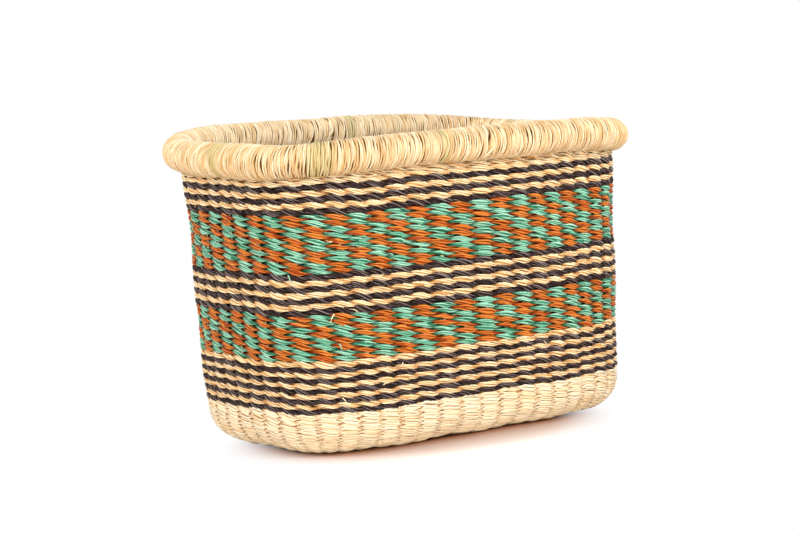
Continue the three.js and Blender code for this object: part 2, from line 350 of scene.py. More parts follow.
class BasketStudio(bpy.types.PropertyGroup):
    """Camera, lamps and floor."""

    floor: colour_property("Floor", (252, 240, 230), "Floor under the basket")
    # Painted shadow: the floor's deep colour close to the basket
    painted_floor_shadow: colour_property("Floor, deep", (142, 96, 68), "Floor close to the basket")
    lens: FloatProperty(name="Lens", default=101.25, description="Focal length in millimetres")
    distance: length_property("Distance", 1.845, "Camera to the middle of the picture")
    elevation: angle_property(
        "Elevation", math.radians(6), "Height of the camera above the horizon"
    )
    yaw: angle_property(
        "Yaw", math.radians(34.46), "Turn of the view from straight on to the long side"
    )
    roll: angle_property("Roll", 0.052, "Roll of the camera")
    target: FloatVectorProperty(
        name="Target",
        default=(-0.00374, 0.00157, 0.1268),
        description="Point in the middle of the picture",
        subtype="TRANSLATION",
        size=3,
        precision=5,
    )
    sky: share_property("Sky", 0.3, "Light from all round")
    top_lamp: power_property("Top lamp", 7, "Power of the lamp overhead")
    left_lamp: power_property("Left lamp", 11, "Power of the left lamp")
    right_lamp: power_property("Right lamp", 13, "Power of the right lamp")
    fill_lamp: power_property("Fill lamp", 26, "Power of the front lamp")
    floor_glow: share_property(
        "Floor glow", 0.35, "Extra white of the floor as the camera sees it"
    )
    # Painted shadow: how far the floor's deep colour reaches from the basket
    shadow_reach: length_property(
        "Shadow reach", 0.07, "How far from the basket the floor takes on its deep colour"
    )
    floor_clear: share_property(
        "Floor clear", 1.35, "Where the floor is plain white, in half sizes of the basket"
    )


def settings(name):
    return getattr(bpy.context.scene, name)


def seeded(name):
    """Random numbers of a piece's own, the same at each run."""
    return np.random.default_rng(zlib.crc32(name.encode()))


def unit_outline(turn, exponent):
    power = 2 / exponent
    cosine, sine = np.cos(turn), np.sin(turn)
    return (
        np.sign(cosine) * np.abs(cosine) ** power,
        np.sign(sine) * np.abs(sine) ** power,
    )


def outline_sizes(height):
    """Half length, half width and middle of the wall's outline at an array of heights."""
    low, high = frame_outline(0), frame_outline(MOUTH_HEIGHT)
    share = height / MOUTH_HEIGHT
    return [start + (end - start) * share for start, end in zip(low, high)]


def turns_at_equal_steps(half_length, half_width):
    """Length round an outline as a share, and the outline's parameter at each share."""
    turn = np.linspace(0, FULL_TURN, OUTLINE_SAMPLES + 1)
    x, y = unit_outline(turn, settings("basket_wall").corner_exponent)
    steps = np.hypot(np.diff(x * half_length), np.diff(y * half_width))
    share = np.concatenate([[0], np.cumsum(steps)])
    return share / share[-1], turn


def wall_parameter(share):
    """Parameter of the outline at a share of the way round, the same at every height."""
    half_length, half_width, _, _ = outline_sizes(MOUTH_HEIGHT / 2)
    shares, turns = turns_at_equal_steps(half_length, half_width)
    return np.interp(share % 1, shares, turns)


def wall_point(turn, height, outset):
    """Points beside the wall's outline, outset outwards from it."""
    exponent = settings("basket_wall").corner_exponent
    half_length, half_width, middle_x, middle_y = outline_sizes(height)
    unit_x, unit_y = unit_outline(turn, exponent)
    normal_x = np.sign(unit_x) * np.abs(unit_x) ** (exponent - 1) / half_length
    normal_y = np.sign(unit_y) * np.abs(unit_y) ** (exponent - 1) / half_width
    length = np.hypot(normal_x, normal_y)
    x = middle_x + unit_x * half_length + normal_x / length * outset
    y = middle_y + unit_y * half_width + normal_y / length * outset
    return np.stack([x, y, height + np.zeros_like(x)], axis=-1)


def skin_point(turn, climb, depth):
    """Points of the basket's skin. Climb is measured along the section from the foot of the wall,
    upwards on the wall, and down round the foot and in over the base where it is negative. Depth
    is positive outwards."""
    radius = settings("basket_wall").foot_radius
    foot_length = radius * QUARTER_TURN
    angle = np.clip(-climb / radius, 0, QUARTER_TURN)
    inward = np.maximum(-climb - foot_length, 0)
    outset = (radius + depth) * np.cos(angle) - radius
    height = radius - (radius + depth) * np.sin(angle) + np.maximum(climb, 0)
    points = wall_point(turn, height, outset)
    half_length, half_width, middle_x, middle_y = outline_sizes(0)
    share = np.clip(inward / (half_width - radius), 0, 1)
    spine = (half_length - half_width) / (half_length - radius)
    points[..., 0] += share * (spine - 1) * (points[..., 0] - middle_x)
    points[..., 1] -= share * (points[..., 1] - middle_y)
    return points


def ahead_of(turn, climb):
    """Level directions along the wall."""
    level = 0 * climb
    ahead = skin_point(turn + SMALL_TURN, climb, level) - skin_point(turn, climb, level)
    ahead[:, 2] = 0
    return ahead / np.linalg.norm(ahead, axis=1)[:, None]


def stake_drift(share):
    """How far the stakes stand from equal steps, in stakes."""
    turn = FULL_TURN * share
    return sum(
        cosine * np.cos(waves * turn) + sine * np.sin(waves * turn)
        for waves, cosine, sine in STAKE_DRIFT
    )


def rim_wave(turn):
    """Rise and fall of the rim round the mouth."""
    rim = settings("basket_rim")
    return (
        rim.lean * np.sin(turn)
        - rim.tilt * np.cos(turn)
        - rim.sag * np.cos(2 * turn)
        - rim.twist * np.sin(2 * turn)
    )


def soft_field(name, share, climb):
    """A smooth random field from about -1 to 1 over the skin, which closes round the basket."""
    random = seeded(name)
    total = np.zeros_like(share)
    for _ in range(FIELD_WAVES):
        waves_round = random.integers(*FIELD_WAVES_ROUND)
        waves_up = random.uniform(-FIELD_CLIMB, FIELD_CLIMB)
        phase = random.uniform(0, FULL_TURN)
        total += np.sin(FULL_TURN * waves_round * share + waves_up * climb + phase)
    return total / math.sqrt(FIELD_WAVES)


def eased(table, line, place):
    """Values of a table's line at whole places, eased in between. The line repeats."""
    whole = np.floor(place).astype(int)
    part = place - whole
    part = part * part * (3 - 2 * part)
    count = table.shape[1]
    return table[line, whole % count] * (1 - part) + table[line, (whole + 1) % count] * part


def risen(value, start, end):
    """0 up to start, 1 from end, and level steps in between."""
    return np.clip((value - start) / (end - start), 0, 1)


# Waves in a soft field, the least and most of them round the basket, and radians up a metre
FIELD_WAVES = 9
FIELD_WAVES_ROUND = (2, 17)
FIELD_CLIMB = 90
# Middles and half lengths of the greenish patches, as shares of the way round the rim
GREEN_PLACES = ((0.06, 0.006), (0.226, 0.004), (0.513, 0.007), (0.607, 0.008), (0.71, 0.003))
GREEN_REACH = (0.5, 1.5)  # where they thin out and where they end, in half lengths
# Places where two turns of the wrapping part on the inside
PARTED_PLACES = (0.2335, 0.2655)
PARTED_FACE = (0.78, 0.98)  # where along a wrap they begin to part, and where they have parted
# Templates: a stack of rings, or a round fence of bars, which are then bent to their places
RING_RADIUS = 1.0
SECTION_RADIUS = 0.1
RING_SPACING = 0.5
LAY_STEP = 0.37  # from a blade to the next one in the noise that streaks them
ROW_LAY_STEP = 0.11  # and from a row to the next
templates = {}
made_grasses = {}


def ring_template(rings, steps, sides):
    """A stack of closed rings of round section, spun about Z."""
    key = ("rings", rings, steps, sides)
    if key not in templates:
        shape = bmesh.new()
        place = Matrix.Translation((RING_RADIUS, 0, 0)) @ Matrix.Rotation(QUARTER_TURN, 4, "X")
        bmesh.ops.create_circle(shape, segments=sides, radius=SECTION_RADIUS, matrix=place)
        bmesh.ops.spin(
            shape,
            geom=shape.verts[:] + shape.edges[:],
            cent=(0, 0, 0),
            axis=(0, 0, 1),
            angle=FULL_TURN,
            steps=steps,
            use_merge=True,
        )
        bmesh.ops.recalc_face_normals(shape, faces=shape.faces)
        sort_faces(shape)
        heights = [ring * RING_SPACING for ring in range(rings)]
        moves = [Matrix.Translation((0, 0, height)) for height in heights]
        templates[key] = repeated(mesh_from(shape, "ring"), moves)
    return templates[key].copy()


def sort_faces(shape):
    """Orders faces by their corners, because spin leaves their order open."""
    shape.verts.index_update()
    count = len(shape.verts)

    def place(face):
        corners = sorted(vertex.index for vertex in face.verts)
        return sum(corner * count**power for power, corner in enumerate(corners))

    shape.faces.sort(key=place)


def fence_template(count, steps, sides):
    """A round fence of separate upright bars with closed ends, one unit high."""
    key = ("fence", count, steps, sides)
    if key not in templates:
        shape = bmesh.new()
        radius = bar_radius(count)
        bmesh.ops.create_cone(
            shape,
            cap_ends=True,
            segments=sides,
            radius1=radius,
            radius2=radius,
            depth=1,
            matrix=Matrix.Translation((RING_RADIUS, 0, 0.5)),
        )
        upright = [e for e in shape.edges if e.verts[0].co.z != e.verts[1].co.z]
        bmesh.ops.subdivide_edges(shape, edges=upright, cuts=steps - 1, use_grid_fill=True)
        bmesh.ops.recalc_face_normals(shape, faces=shape.faces)
        turns = [FULL_TURN * bar / count for bar in range(count)]
        moves = [Matrix.Rotation(turn, 4, "Z") for turn in turns]
        templates[key] = repeated(mesh_from(shape, "bar"), moves)
    return templates[key].copy()


def repeated(mesh, moves):
    """Copies of a mesh in one mesh, each moved from the first one's place."""
    shape = bmesh.new()
    count = len(mesh.vertices)
    for move in moves:
        shape.from_mesh(mesh)
        shape.verts.ensure_lookup_table()
        bmesh.ops.transform(shape, matrix=move, verts=shape.verts[-count:])
    return mesh_from(shape, mesh.name)


def bar_radius(count):
    return RING_RADIUS * math.pi / count / 2


def mesh_from(shape, name):
    mesh = bpy.data.meshes.new(name)
    shape.to_mesh(mesh)
    shape.free()
    mesh.shade_smooth()
    return mesh


def coordinates_of(mesh):
    flat = np.zeros(len(mesh.vertices) * 3)
    mesh.vertices.foreach_get("co", flat)
    return flat.reshape(-1, 3)


def ring_coordinates(mesh):
    """Share round, ring number and section angle of each vertex of a stack of rings."""
    x, y, z = coordinates_of(mesh).T
    ring = np.rint(z / RING_SPACING).astype(int)
    share = (np.arctan2(y, x) / FULL_TURN) % 1
    section = np.arctan2(z - ring * RING_SPACING, np.hypot(x, y) - RING_RADIUS)
    return share, ring, section


def fence_coordinates(mesh, count):
    """Bar number, place across and through the bar from -1 to 1, and place along it."""
    x, y, z = coordinates_of(mesh).T
    turns = np.arctan2(y, x) / FULL_TURN * count
    bar = np.rint(turns).astype(int)
    angle = (turns - bar) / count * FULL_TURN
    distance = np.hypot(x, y)
    across = distance * np.sin(angle) / bar_radius(count)
    through = (distance * np.cos(angle) - RING_RADIUS) / bar_radius(count)
    return bar % count, across, through, z


def add_attribute(mesh, name, values):
    if values.ndim == 2:
        attribute = mesh.attributes.new(name, "FLOAT_VECTOR", "POINT")
        attribute.data.foreach_set("vector", values.astype(np.float32).ravel())
    else:
        attribute = mesh.attributes.new(name, "FLOAT", "POINT")
        attribute.data.foreach_set("value", values.astype(np.float32))


def add_piece(name, mesh, points, lay, tone, grasses, slot, *nodes):
    """Lays a template's vertices on their places and stands the piece in for its CAD nodes."""
    mesh.vertices.foreach_set("co", points.astype(np.float32).ravel())
    add_attribute(mesh, "lay", lay)
    add_attribute(mesh, "tone", tone)
    if "shade" not in mesh.attributes:
        add_attribute(mesh, "shade", np.ones(len(points)))
    mesh.name = name
    for grass in grasses:
        mesh.materials.append(grass_material(grass))
    mesh.update()
    piece = bpy.data.objects.new(name, mesh)
    bpy.context.scene.collection.objects.link(piece)
    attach(piece, BODY)
    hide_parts(*nodes)


def paint_by_vertex(mesh, grass_number):
    """Gives each face the number of its first vertex, of the grasses that the piece has."""
    first = np.zeros(len(mesh.polygons), dtype=int)
    mesh.polygons.foreach_get("loop_start", first)
    corner = np.zeros(len(mesh.loops), dtype=int)
    mesh.loops.foreach_get("vertex_index", corner)
    numbers = grass_number[corner[first]]
    mesh.polygons.foreach_set("material_index", numbers.astype(np.int32))


# How unevenly strands are made by hand, as shares of each measure
UNEVEN_SWING = 0.1
UNEVEN_SLOPE = 0.2
UNEVEN_HEIGHT = 0.07
UNEVEN_WINDING = 0.35  # radians
UNEVEN_BLADE = 0.2
UNEVEN_TONE = 0.4
UNEVEN_BLADE_TONE = 0.8
UNEVEN_PAINTED_HIGHLIGHT = 0.9
# Half height of the blade inside a full strand, in rows, where strands cross and what it gains
# over a stake, and how much of its thickness it keeps at both. Painted dark, it fills the holes
# where strands cross with painted shade
FILLED_HEIGHT = (0.22, 0.35)
FILLED_DEPTH = (0.1, 0.35)
BLADE_DEPTH = 1.2  # thickness of a blade for its height, both as shares of its strand's
# How far out a strand is, from 0 where strands cross to 1 over a stake, where its painted crevice
# shade would begin and where it ends
CROSSING = (-0.35, 0.3)
EDGE_RIDGE = -0.5  # a blade of three sides goes from 1 at its ridge to this at its edges
# Painted shade: strands are darker on the side towards the stakes, so that the holes between them
# look dark
UNDERSIDE = 0.9  # how much darker a strand is on the side towards the stakes
GIRTH_SHARE = 0.9  # girth of the wall as a share of its box's


def twine(name, limits, rows, stitches, kind, turn_of):
    """Twined rows as a mesh: two strands a row, which cross between the stakes, each of several
    blades. Limits gives the lower and upper edge of each row, as climbs along the skin."""
    wall = settings("basket_wall")
    strands = settings("basket_strands")
    fibres = kind.fibres
    random = seeded(name)
    mesh = ring_template(rows * 2 * fibres, stitches * kind.steps, strands.sides)
    share, ring, section = ring_coordinates(mesh)
    row, strand, fibre = ring // (2 * fibres), ring // fibres, ring % fibres
    lower, upper = limits(row, share)
    pitch = upper - lower
    stitch = stitches * share - wall.first_stake - stake_drift(share) + strand % 2

    def by_strand(spread):
        return spread * eased(random.uniform(-1, 1, (rows * 2, stitches)), strand, stitch)

    def by_blade(spread):
        table = random.uniform(-1, 1, (rows * 2 * fibres, stitches))
        return spread * eased(table, ring, stitch)

    phase = math.pi * stitch + by_blade(kind.lag)
    out, across = np.cos(phase), np.sin(phase)
    near, far = out * out, across * across
    swing = wall.strand_swing * kind.swing
    depth = swing * (1 + by_strand(UNEVEN_SWING)) * out
    depth += wall.strand_swing - swing - wall.strand_middle
    climb = (lower + upper) / 2
    climb -= kind.slope * pitch * across * (1 + by_strand(UNEVEN_SLOPE))
    core = fibre == fibres - 1
    pinch = far**kind.pinch
    half_height = strands.middle_height + (kind.waist - strands.middle_height) * pinch
    # The blade inside stays full where strands cross, so that, painted dark, it fills their holes
    # with painted shade
    filled = core & (kind.filling > 0)
    filled_height = kind.filling * (FILLED_HEIGHT[0] + FILLED_HEIGHT[1] * far)
    half_height = np.where(filled, filled_height, half_height)
    half_height = kind.snug * pitch * (half_height - strands.spread * pinch * across)
    half_height *= 1 + by_strand(UNEVEN_HEIGHT)
    half_depth = wall.strand_thickness * near + wall.crossing_thickness * far
    start = random.uniform(0, FULL_TURN, rows * 2)[strand]
    whole_twist = round(kind.twist * stitches) / stitches
    around = start + FULL_TURN * (fibre / (fibres - 1) - whole_twist * stitch)
    around += by_blade(UNEVEN_WINDING)
    blade = np.where(core, strands.core_share, kind.blade * (1 + by_blade(UNEVEN_BLADE)))
    ring_share = np.where(core, 0, strands.ring_share)
    ridge, side = np.sin(section), section - QUARTER_TURN + around
    facing = kind.bulge * ring_share * np.cos(around) + BLADE_DEPTH * blade * np.cos(side)
    depth += half_depth * facing * np.where(filled, FILLED_DEPTH[0] + FILLED_DEPTH[1] * far, 1)
    climb += half_height * (ring_share * np.sin(around) + blade * np.sin(side))
    depth += wall.swell * soft_field("swell", share, climb)
    climb += wall.wander * soft_field("wander", share, climb)
    points = skin_point(turn_of(share), climb, depth)
    points[:, 2] = np.maximum(points[:, 2], 0)

    along = share * outline_girth()
    blade_lay = ring * LAY_STEP + row * ROW_LAY_STEP
    lay = np.stack([along, section / FULL_TURN, blade_lay], axis=-1)
    tone = kind.tone * (1 + by_strand(UNEVEN_TONE) + by_blade(UNEVEN_BLADE_TONE))
    # Painted highlight: the ridges of the blades are lighter
    tone += kind.glint * (1 + by_blade(UNEVEN_PAINTED_HIGHLIGHT)) * np.maximum(ridge, 0)
    # Painted shade: darker in the crevice where a strand goes in, on its side towards the stakes,
    # at the edges of its blades, and in the blade inside
    bare = risen(np.abs(out), *CROSSING) ** 2
    shade = kind.crevice + (1 - kind.crevice) * bare
    shade *= 1 - UNDERSIDE * np.clip(-2 * out * facing, 0, 1)
    edge = (1 - ridge) / (1 - EDGE_RIDGE)
    shade *= np.where(core, kind.inside, 1 - kind.line * edge)
    add_attribute(mesh, "shade", shade)
    return mesh, points, lay, np.clip(tone, -1, 1), strand


def outline_girth():
    half_length, half_width, _, _ = outline_sizes(MOUTH_HEIGHT / 2)
    return 4 * (half_length + half_width) * GIRTH_SHARE


def level_rows(bottom, top, rows):
    """Edges of level rows between two climbs."""

    def limits(row, share):
        pitch = (top - bottom) / rows
        return bottom + row * pitch, bottom + (row + 1) * pitch

    return limits


def climb_of(height):
    return height - settings("basket_wall").foot_radius


def bundle_underside(turn):
    """Climb at which the stakes and the last row meet the bundle in the rim."""
    wall, rim = settings("basket_wall"), settings("basket_rim")
    reach = math.sqrt(rim.bundle_radius**2 - (rim.outset + wall.strand_middle) ** 2)
    return climb_of(MOUTH_HEIGHT + rim_wave(turn) - reach)


def node_rows(node):
    """Climbs at which a CAD course begins and ends, with half its clearance on each side."""
    low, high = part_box(node)
    return climb_of(low.z - COURSE_CLEARANCE / 2), climb_of(high.z + COURSE_CLEARANCE / 2)


def add_twining(name, twined, grass, *nodes):
    """Twined rows of natural grass as a piece."""
    mesh, points, lay, tone, _ = twined
    add_piece(name, mesh, points, lay, tone, [grass], "natural_straw", *nodes)


def twine_course(node, rows, kind, grasses, slot, swap=False):
    """One CAD course as twined strands, which also show on the inside of the wall."""
    bottom, top = node_rows(node)
    name = f"{node}_strands"
    stakes = settings("basket_wall").stakes
    limits = level_rows(bottom, top, rows)
    mesh, points, lay, tone, strand = twine(name, limits, rows, stakes, kind, wall_parameter)
    if len(grasses) > 1:
        paint_by_vertex(mesh, (strand + swap) % 2)
    add_piece(name, mesh, points, lay, tone, grasses, slot, node, "inner_wall")


def linear(colour):
    """A colour written as in a picture, as the linear values of a shader."""
    return [*Color(colour).from_srgb_to_scene_linear(), 1]


# Streaks of the grass: waves along and across the blades, detail and roughness of the noise
FINE_STREAKS = (210.0, 5.0, 3.0, 0.6)
BROAD_STREAKS = (55.0, 1.6, 2.0, 0.5)
BROAD_CONTRAST = 0.4
STREAK_SPACING = 7.3  # keeps the noise of one blade off its neighbour's
RIDGE_HEIGHT = 0.0003
# Painted shade: shades under which a blade takes on its crevice's colour, and over which its
# edge's colour ends
CREVICE_SHADE = 0.35
BARE_SHADE = 0.85


class NodeTree:
    """A material's or world's node tree, with short calls for the nodes used here."""

    def __init__(self, tree):
        self.tree = tree
        tree.nodes.clear()

    def node(self, kind, settings=None, **inputs):
        node = self.tree.nodes.new(kind)
        for name, value in (settings or {}).items():
            setattr(node, name, value)
        for name, value in inputs.items():
            self.feed(self.socket(node, name), value)
        return node

    def feed(self, socket, value):
        if isinstance(value, bpy.types.NodeSocket):
            self.tree.links.new(value, socket)
        else:
            socket.default_value = value

    def socket(self, node, name):
        wanted = name.replace("_", " ").lower()
        for socket in node.inputs:
            if socket.enabled and wanted in (socket.name.lower(), socket.identifier.lower()):
                return socket
        if name.startswith("input"):
            return node.inputs[int(name.removeprefix("input"))]
        raise KeyError(f"{node.bl_idname} has no input {name}")

    def math(self, operation, *values):
        inputs = {f"input{number}": value for number, value in enumerate(values)}
        return self.node("ShaderNodeMath", {"operation": operation}, **inputs).outputs[0]

    def mix(self, factor, first, second, blend="MIX"):
        node = self.node("ShaderNodeMix", {"data_type": "RGBA", "blend_type": blend})
        colours = [socket for socket in node.inputs if socket.type == "RGBA"]
        for socket, value in zip((node.inputs[0], *colours), (factor, first, second)):
            self.feed(socket, value)
        return [socket for socket in node.outputs if socket.type == "RGBA"][0]

    def risen(self, value, start, end, steps="LINEAR"):
        """0 up to start, 1 from end, and level or eased steps in between."""
        steps = {"interpolation_type": steps}
        node = self.node("ShaderNodeMapRange", steps, Value=value, From_Min=start, From_Max=end)
        return node.outputs["Result"]

    def attribute(self, name, output="Fac"):
        return self.node("ShaderNodeAttribute", {"attribute_name": name}).outputs[output]

    def streaks(self, along, across, detail, roughness):
        """Noise drawn out along the blades."""
        scaled = self.node(
            "ShaderNodeVectorMath",
            {"operation": "MULTIPLY"},
            input0=self.attribute("lay", "Vector"),
            input1=(along, across, STREAK_SPACING),
        )
        noise = self.node(
            "ShaderNodeTexNoise",
            {"noise_dimensions": "3D"},
            Vector=scaled.outputs[0],
            Scale=1.0,
            Detail=detail,
            Roughness=roughness,
        )
        return noise.outputs["Fac"]


def grass_material(name):
    """Dyed or plain grass: a tone for each float, streaks along the blades, fine ridges, and
    painted shade, a deeper colour towards the edges of the blades and in the crevices."""
    if name in made_grasses:
        return made_grasses[name]
    material = bpy.data.materials.new(name)
    made_grasses[name] = material
    material.use_nodes = True
    tree = NodeTree(material.node_tree)
    grass = settings(f"basket_{name}")
    fine = tree.streaks(*FINE_STREAKS)
    broad = tree.streaks(*BROAD_STREAKS)
    spread = tree.math("MULTIPLY_ADD", fine, grass.streaks, -grass.streaks / 2)
    mixed = tree.math("ADD", tree.attribute("tone"), spread)
    factor = tree.math("MINIMUM", tree.math("MAXIMUM", mixed, 0.0), 1.0)
    colour = tree.mix(factor, linear(grass.deep), linear(grass.light))
    level = tree.math("MULTIPLY_ADD", broad, BROAD_CONTRAST, 1 - BROAD_CONTRAST / 2)
    grey = tree.node("ShaderNodeCombineColor", Red=level, Green=level, Blue=level)
    colour = tree.mix(1.0, colour, grey.outputs[0], "MULTIPLY")
    # Painted shade: the edge colour, then the crevice colour, as the shade attribute falls
    shade = tree.attribute("shade")
    bared = tree.risen(shade, CREVICE_SHADE, BARE_SHADE)
    colour = tree.mix(bared, linear(grass.edge), colour)
    opened = tree.risen(shade, 0.0, CREVICE_SHADE)
    colour = tree.mix(opened, linear(grass.crevice), colour)
    bump = tree.node("ShaderNodeBump", Strength=0.6, Distance=RIDGE_HEIGHT, Height=fine)
    shader = tree.node(
        "ShaderNodeBsdfPrincipled",
        Base_Color=colour,
        Roughness=grass.roughness,
        Specular_IOR_Level=grass.shine,
        Normal=bump.outputs[0],
    )
    tree.node("ShaderNodeOutputMaterial", Surface=shader.outputs[0])
    return material


class BASKET_OT_base(bpy.types.Operator):
    """Twine the base: full rows at its edge, and rows with wider stitches round its middle"""

    bl_idname = "basket.base"
    bl_label = "Base"

    outer_rows: count_property("Outer rows", 8, "Rows on all the stakes")
    inner_rows: count_property("Inner rows", 9, "Rows on paired stakes")
    inner_stitches: count_property("Inner stitches", 28, "Paired stakes")

    def execute(self, context):
        wall, kind = settings("basket_wall"), settings("basket_base_twining")
        _, half_width, _, _ = outline_sizes(0)
        edge = -wall.foot_radius * QUARTER_TURN
        middle = edge - (half_width - wall.foot_radius)
        pitch = (edge - middle) / (self.outer_rows + self.inner_rows)
        change = edge - self.outer_rows * pitch
        for name, low, high, rows, stitches, turn_of in (
            ("base_edge", change, edge, self.outer_rows, wall.stakes, wall_parameter),
            ("base_middle", middle, change, self.inner_rows, self.inner_stitches, base_parameter),
        ):
            limits = level_rows(low, high, rows)
            twined = twine(name, limits, rows, stitches, kind, turn_of)
            add_twining(f"{name}_strands", twined, "pale_strands", "base_weave", "inner_floor")
        return {"FINISHED"}


def base_parameter(share):
    """Parameter round a ring of the base a third as wide, so that its stitches stay even."""
    half_length, half_width, _, _ = outline_sizes(0)
    shares, turns = turns_at_equal_steps(half_length, half_width / 3)
    return np.interp(share % 1, shares, turns)


class BASKET_OT_foot(bpy.types.Operator):
    """Twine the natural rows that turn up from the base into the wall"""

    bl_idname = "basket.foot"
    bl_label = "Foot"

    turn_rows: count_property("Rows in the turn", 12, "Rows round the turn")
    parts: count_property("Parts", 3, "Pieces that the turn is made in")
    band_rows: count_property("Rows above", 2, "Natural rows above it")

    def execute(self, context):
        wall, kind = settings("basket_wall"), settings("basket_foot_twining")
        bottom = -wall.foot_radius * QUARTER_TURN
        rows = self.turn_rows // self.parts
        for part in range(self.parts):
            low = bottom * (1 - part / self.parts)
            high = bottom * (1 - (part + 1) / self.parts)
            name = f"foot_strands_{part + 1}"
            limits = level_rows(low, high, rows)
            twined = twine(name, limits, rows, wall.stakes, kind, wall_parameter)
            add_twining(name, twined, "pale_strands", "foot_weave", "inner_foot")
        twine_course("foot_band", self.band_rows, kind, ["pale_strands"], "natural_straw")
        return {"FINISHED"}


class BASKET_OT_stripes(bpy.types.Operator):
    """Twine the black courses and the natural courses between them"""

    bl_idname = "basket.stripes"
    bl_label = "Stripes"

    def execute(self, context):
        black, natural = settings("basket_black_twining"), settings("basket_natural_twining")
        for node in sorted(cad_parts):
            if node.startswith("black_course"):
                twine_course(node, 1, black, ["black_strands"], "black_grass")
            elif node.startswith("natural_course"):
                twine_course(node, 1, natural, ["natural_strands"], "natural_straw")
        return {"FINISHED"}


class BASKET_OT_pattern(bpy.types.Operator):
    """Twine the teal and rust blocks, whose colours swap from block to block"""

    bl_idname = "basket.pattern"
    bl_label = "Pattern"

    rows: count_property("Rows in a block", 2, "Rows before the swap")

    def execute(self, context):
        kind = settings("basket_dyed_twining")
        grasses = ["teal_strands", "rust_strands"]
        for place in ("lower", "upper"):
            blocks = sorted(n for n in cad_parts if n.startswith(f"pattern_{place}"))
            for number, node in enumerate(reversed(blocks)):
                swap = number % 2 == 1
                twine_course(node, self.rows, kind, grasses, "teal_and_rust_grass", swap)
        return {"FINISHED"}


class BASKET_OT_top_band(bpy.types.Operator):
    """Twine the last natural rows, which are pressed together where the rim dips onto them"""

    bl_idname = "basket.top_band"
    bl_label = "Top band"

    rows: count_property("Rows", 3, "Rows below the rim")
    pitch: length_property("Row", 0.0045, "Height of a row")
    least: length_property("Least row", 0.0005, "Height of a row that the rim presses")

    def execute(self, context):
        wall, kind = settings("basket_wall"), settings("basket_top_twining")
        bottom, _ = node_rows("top_weave")

        def limits(row, share):
            top = bundle_underside(wall_parameter(share))

            def edge(number):
                pressed = top - (self.rows - number) * self.least
                return np.minimum(bottom + number * self.pitch, pressed)

            return edge(row), edge(row + 1)

        twined = twine("top_band", limits, self.rows, wall.stakes, kind, wall_parameter)
        add_twining("top_band_strands", twined, "natural_strands", "top_weave", "inner_wall")
        return {"FINISHED"}


class BASKET_OT_stakes(bpy.types.Operator):
    """Set the upright stakes between the strands, from the middle of the base to the rim"""

    bl_idname = "basket.stakes"
    bl_label = "Stakes"

    steps: count_property("Steps", 30, "Steps along a stake")
    base_share: share_property("Reach in the base", 0.8, "How far a stake runs to the middle")
    taper: share_property("Taper", 0.7, "How much narrower the stakes get towards the middle")

    def execute(self, context):
        wall = settings("basket_wall")
        mesh = fence_template(wall.stakes, self.steps, sides=6)
        bar, across, through, along = fence_coordinates(mesh, wall.stakes)
        drift = stake_drift(bar / wall.stakes)
        turn = wall_parameter((bar + wall.first_stake + drift) / wall.stakes)
        _, half_width, _, _ = outline_sizes(0)
        bottom = -wall.foot_radius * QUARTER_TURN
        bottom -= (half_width - wall.foot_radius) * self.base_share
        climb = bottom + (bundle_underside(turn) - bottom) * along
        depth = through * wall.stake_thickness / 2 - wall.strand_middle
        points = skin_point(turn, climb, depth)
        ahead = ahead_of(turn, climb)
        in_base = np.clip((-climb - wall.foot_radius * QUARTER_TURN) / half_width, 0, 1)
        width = wall.stake_width * (1 - self.taper * in_base)
        points += ahead * (across * width / 2)[:, None]
        lay = np.stack([climb, across / 4, bar * LAY_STEP], axis=-1)
        tone = seeded("stakes").uniform(0, 1, wall.stakes)[bar]
        grasses = ["natural_strands"]
        add_piece("stake_strips", mesh, points, lay, tone, grasses, "stake_straw", "stakes")
        return {"FINISHED"}


def rim_point(turn, radius, angle):
    """Points round the middle of the rim. Angle 0 is outwards and a quarter turn is up."""
    outset = settings("basket_rim").outset + radius * np.cos(angle)
    points = wall_point(turn, np.full_like(turn, MOUTH_HEIGHT), outset)
    points[..., 2] += rim_wave(turn) + radius * np.sin(angle)
    return points


class BASKET_OT_rim_bundle(bpy.types.Operator):
    """Lay the bundle of straw that stiffens the mouth"""

    bl_idname = "basket.rim_bundle"
    bl_label = "Rim bundle"

    steps: count_property("Steps", 160, "Steps round the mouth")
    straw_radius: length_property("Straw radius", 0.0016, "Radius of a straw")
    wobbles: count_property("Wobbles", 40, "Times that a straw wobbles round the mouth")
    wobble: share_property("Wobble", 0.4, "How far it wobbles aside, in straws")
    lift: share_property("Lift", 0.3, "How far it wobbles out and in, in radii of a straw")

    def execute(self, context):
        rim = settings("basket_rim")
        mesh = ring_template(rim.straws, self.steps, sides=5)
        share, straw, section = ring_coordinates(mesh)
        random = seeded("rim_bundle")
        table = random.uniform(-1, 1, (rim.straws, self.wobbles))
        wobble = eased(table, straw, share * self.wobbles)
        angle = FULL_TURN * (straw + self.wobble * wobble) / rim.straws
        radius = rim.bundle_radius - self.straw_radius * (1 + self.lift * wobble)
        inside = rim_point(wall_parameter(share), radius, angle)
        outside = rim_point(wall_parameter(share), radius + self.straw_radius, angle)
        out = (outside - inside) * np.cos(section)[:, None]
        points = inside + out
        points[:, 2] += self.straw_radius * np.sin(section)
        lay = np.stack([share, section / FULL_TURN, straw * LAY_STEP], axis=-1)
        tone = random.uniform(0, 1, rim.straws)[straw]
        grasses = ["rim_straws"]
        add_piece("rim_bundle", mesh, points, lay, tone, grasses, "stake_straw", "rim_core")
        return {"FINISHED"}


